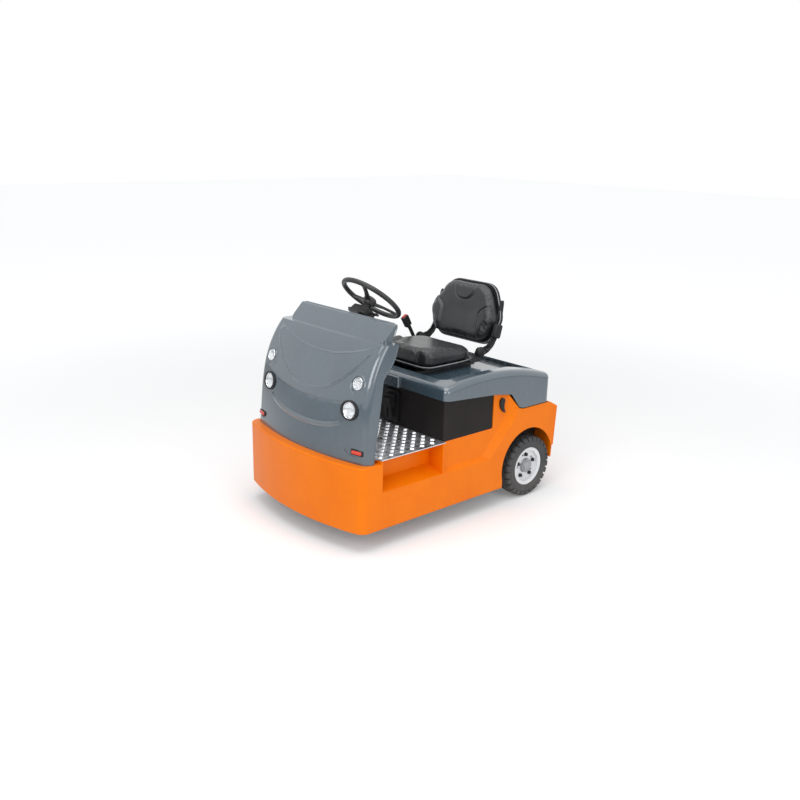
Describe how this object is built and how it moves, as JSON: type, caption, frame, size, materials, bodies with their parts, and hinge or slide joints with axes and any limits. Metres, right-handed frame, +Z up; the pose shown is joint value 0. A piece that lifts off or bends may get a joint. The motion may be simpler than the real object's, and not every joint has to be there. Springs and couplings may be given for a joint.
{
  "type": "electric tow tractor",
  "caption": "Three-wheeled electric tow tractor with a driver's seat on its tilting hood, a moulded front cowl and a rear pin hitch.",
  "frame": {"origin": "on the floor, at the middle of the length and width", "axes": "+X forward, +Y to the driver's left, +Z up"},
  "size_m": [1.7, 1.06, 1.3687],
  "materials": {
    "body_orange": "orange powder coat",
    "moulding_grey": "blue-grey gloss moulding",
    "frame_black": "black paint",
    "box_black": "black semi-gloss paint",
    "battery_grey": "plain casing",
    "tread_plate": "bright chequer plate",
    "black_plastic": "black moulded plastic",
    "dash_black": "black moulded plastic",
    "pedal_rubber": "ribbed rubber",
    "clear_lens": "clear lens",
    "red_lens": "red lens",
    "cast_grey": "painted casting",
    "seat_vinyl": "black vinyl",
    "tyre_rubber": "dark tyre rubber",
    "rim_white": "white paint",
    "zinc_steel": "zinc plated"
  },
  "bodies": {
    "chassis": {"front_apron": "body_orange", "side_panel_left": "body_orange", "side_panel_right": "body_orange", "rear_panel": "body_orange", "underframe": "frame_black", "floor_plate": "tread_plate", "battery_box": "box_black", "battery": "battery_grey", "battery_connector": "black_plastic", "panel_pulls": "black_plastic", "cowl": "moulding_grey", "dash_panel": "dash_black", "steering_column": "black_plastic", "pedals": "pedal_rubber", "headlamp_bezels": "black_plastic", "headlamp_lenses": "clear_lens", "small_lamps": "clear_lens", "marker_lamps": "red_lens", "drive_axle": "cast_grey", "drive_motor": "frame_black", "steer_ring": "cast_grey", "tow_hitch": "cast_grey", "tail_lamps": "red_lens", "hinge_brackets": "frame_black"},
    "hood": {"hood": "moulding_grey", "hinge_leaves": "frame_black", "seat_rails": "frame_black"},
    "seat": {"seat_frame": "frame_black", "seat_cushion": "seat_vinyl", "belt_buckle": "black_plastic"},
    "backrest": {"backrest_shell": "black_plastic", "backrest_cushion": "seat_vinyl", "belt_retractor": "black_plastic"},
    "steering_wheel": {"steering_wheel": "black_plastic"},
    "front_fork": {"front_fork": "cast_grey"},
    "front_wheel": {"front_tyre": "tyre_rubber", "front_rim": "rim_white"},
    "rear_left_wheel": {"rear_left_tyre": "tyre_rubber", "rear_left_rim": "rim_white"},
    "rear_right_wheel": {"rear_right_tyre": "tyre_rubber", "rear_right_rim": "rim_white"},
    "hitch_pin": {"hitch_pin": "zinc_steel"}
  },
  "joints": [
    {"name": "front_steer", "type": "hinge", "parent": "chassis", "child": "front_fork", "pos_m": [0.496, 0, 0.45], "axis": [0, 0, 1], "range_deg": [-80, 80]},
    {"name": "front_roll", "type": "hinge", "parent": "front_fork", "child": "front_wheel", "pos_m": [0.496, 0, 0.1905], "axis": [0, 1, 0], "continuous": true},
    {"name": "rear_left_roll", "type": "hinge", "parent": "chassis", "child": "rear_left_wheel", "pos_m": [-0.554, 0.469, 0.1905], "axis": [0, 1, 0], "continuous": true},
    {"name": "rear_right_roll", "type": "hinge", "parent": "chassis", "child": "rear_right_wheel", "pos_m": [-0.554, -0.469, 0.1905], "axis": [0, 1, 0], "continuous": true},
    {"name": "steering_turn", "type": "hinge", "parent": "chassis", "child": "steering_wheel", "pos_m": [0.281, 0, 1.24], "axis": [-0.6428, 0, 0.766], "range_deg": [-720, 720]},
    {"name": "hood_tilt", "type": "hinge", "parent": "chassis", "child": "hood", "pos_m": [-0.713, 0, 0.593], "axis": [0, -1, 0], "range_deg": [0, 55]},
    {"name": "seat_slide", "type": "slide", "parent": "hood", "child": "seat", "axis": [1, 0, 0], "range_m": [-0.06, 0.08]},
    {"name": "backrest_tilt", "type": "hinge", "parent": "seat", "child": "backrest", "pos_m": [-0.349, 0, 0.8903], "axis": [0, 1, 0], "range_deg": [0, 15]},
    {"name": "hitch_pin_lift", "type": "slide", "parent": "chassis", "child": "hitch_pin", "axis": [0, 0, 1], "range_m": [0, 0.125]}
  ],
  "couplings": [
    {"joint": "steering_turn", "follows": "front_steer", "ratio": 9}
  ]
}
